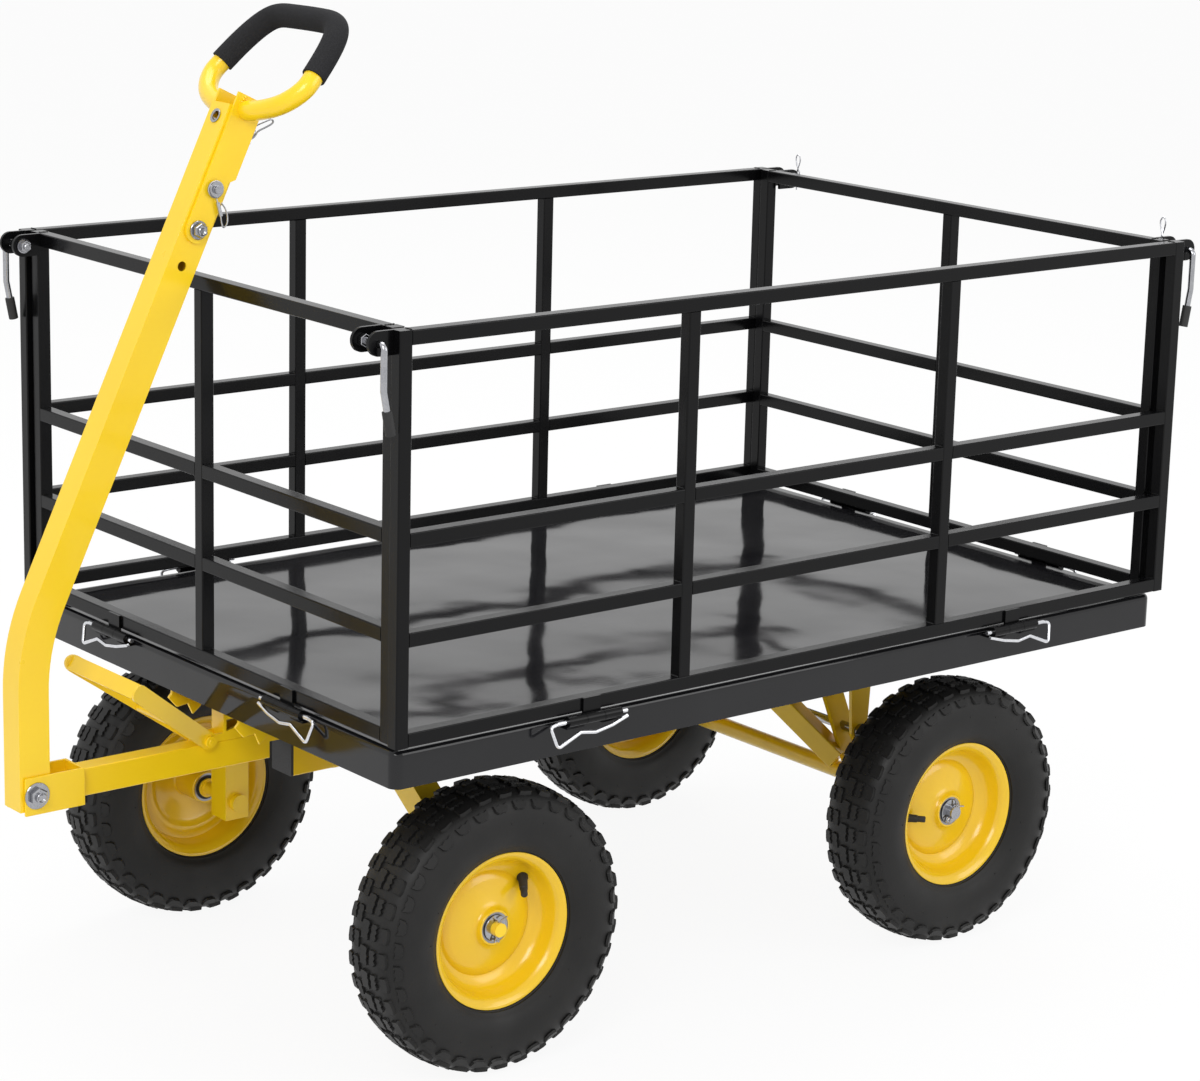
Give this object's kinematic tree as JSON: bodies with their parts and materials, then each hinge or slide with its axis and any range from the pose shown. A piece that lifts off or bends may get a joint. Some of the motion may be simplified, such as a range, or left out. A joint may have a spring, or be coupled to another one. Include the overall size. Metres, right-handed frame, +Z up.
{
  "type": "garden cart",
  "caption": "Four-wheeled steel garden cart with a black flat bed, open fold-down rail sides, tipping bed and a yellow bent pull handle on a steered front axle.",
  "frame": {"origin": "centre of the cart's footprint, on the floor", "axes": "+Z up, -Y towards the handle end, +X to the cart's left side"},
  "size_m": [0.8118, 1.439, 1.1494],
  "materials": {
    "black_paint": "gloss",
    "yellow_paint": "satin",
    "zinc": "satin",
    "tyre_rubber": "matte",
    "black_rubber": "matte",
    "grip_foam": "matte",
    "black_plastic": "satin"
  },
  "bodies": {
    "chassis": {"spine": "yellow_paint", "spine_caps": "black_plastic", "kingpin": "zinc", "rear_axle": "yellow_paint", "rear_saddle": "yellow_paint", "rear_braces": "yellow_paint", "tilt_rod": "zinc"},
    "bed": {"floor_pan": "black_paint", "bed_hinges": "black_paint", "hinge_clips": "zinc", "bed_hangers": "yellow_paint", "bed_hooks": "yellow_paint", "front_panel_uprights": "black_paint", "front_panel_rails": "black_paint", "front_panel_fittings": "black_paint", "front_latch_bolts": "zinc"},
    "left_panel": {"left_panel_uprights": "black_paint", "left_panel_rails": "black_paint", "left_panel_fittings": "black_paint", "left_latch_levers": "zinc", "left_latch_sleeves": "black_rubber"},
    "right_panel": {"right_panel_uprights": "black_paint", "right_panel_rails": "black_paint", "right_panel_fittings": "black_paint", "right_latch_levers": "zinc", "right_latch_sleeves": "black_rubber"},
    "rear_panel": {"rear_panel_uprights": "black_paint", "rear_panel_rails": "black_paint", "rear_panel_fittings": "black_paint", "rear_latch_bolts": "zinc"},
    "steering": {"front_arch": "yellow_paint", "front_stub_axles": "zinc", "tongue": "yellow_paint", "tongue_gussets": "yellow_paint", "clevis": "yellow_paint", "clevis_bolt": "zinc", "release_lever": "yellow_paint", "lever_rod": "yellow_paint"},
    "handle": {"handle_tube": "yellow_paint", "handle_bolt": "zinc"},
    "grip": {"grip_bracket": "yellow_paint", "grip_loop": "yellow_paint", "grip_foam": "grip_foam", "lock_pin": "zinc"},
    "front_left_wheel": {"front_left_rim": "yellow_paint", "front_left_tyre": "tyre_rubber"},
    "front_right_wheel": {"front_right_rim": "yellow_paint", "front_right_tyre": "tyre_rubber"},
    "rear_left_wheel": {"rear_left_rim": "yellow_paint", "rear_left_tyre": "tyre_rubber"},
    "rear_right_wheel": {"rear_right_rim": "yellow_paint", "rear_right_tyre": "tyre_rubber"}
  },
  "joints": [
    {"name": "steering", "type": "hinge", "parent": "chassis", "child": "steering", "pos_m": [0, -0.3025, 0.31], "axis": [0, 0, 1], "range_deg": [-15, 15]},
    {"name": "bed_tilt", "type": "hinge", "parent": "chassis", "child": "bed", "pos_m": [0, 0.3994, 0.225], "axis": [-1, 0, 0], "range_deg": [0, 40]},
    {"name": "left_panel_fold", "type": "hinge", "parent": "bed", "child": "left_panel", "pos_m": [0.397, 0.101, 0.414], "axis": [0, -1, 0], "range_deg": [-150, 0]},
    {"name": "right_panel_fold", "type": "hinge", "parent": "bed", "child": "right_panel", "pos_m": [-0.397, 0.101, 0.414], "axis": [0, 1, 0], "range_deg": [-150, 0]},
    {"name": "rear_panel_fold", "type": "hinge", "parent": "bed", "child": "rear_panel", "pos_m": [0, 0.6895, 0.414], "axis": [1, 0, 0], "range_deg": [-150, 0]},
    {"name": "handle_pivot", "type": "hinge", "parent": "steering", "child": "handle", "pos_m": [0, -0.701, 0.31], "axis": [1, 0, 0], "range_deg": [0, 120]},
    {"name": "grip_flip", "type": "hinge", "parent": "handle", "child": "grip", "pos_m": [0, -0.4933, 0.91478], "axis": [-1, 0, 0], "range_deg": [0, 110]},
    {"name": "front_left_wheel_spin", "type": "hinge", "parent": "steering", "child": "front_left_wheel", "pos_m": [0.307, -0.3025, 0.165], "axis": [1, 0, 0], "continuous": true},
    {"name": "front_right_wheel_spin", "type": "hinge", "parent": "steering", "child": "front_right_wheel", "pos_m": [-0.307, -0.3025, 0.165], "axis": [1, 0, 0], "continuous": true},
    {"name": "rear_left_wheel_spin", "type": "hinge", "parent": "chassis", "child": "rear_left_wheel", "pos_m": [0.307, 0.3994, 0.165], "axis": [1, 0, 0], "continuous": true},
    {"name": "rear_right_wheel_spin", "type": "hinge", "parent": "chassis", "child": "rear_right_wheel", "pos_m": [-0.307, 0.3994, 0.165], "axis": [1, 0, 0], "continuous": true}
  ]
}
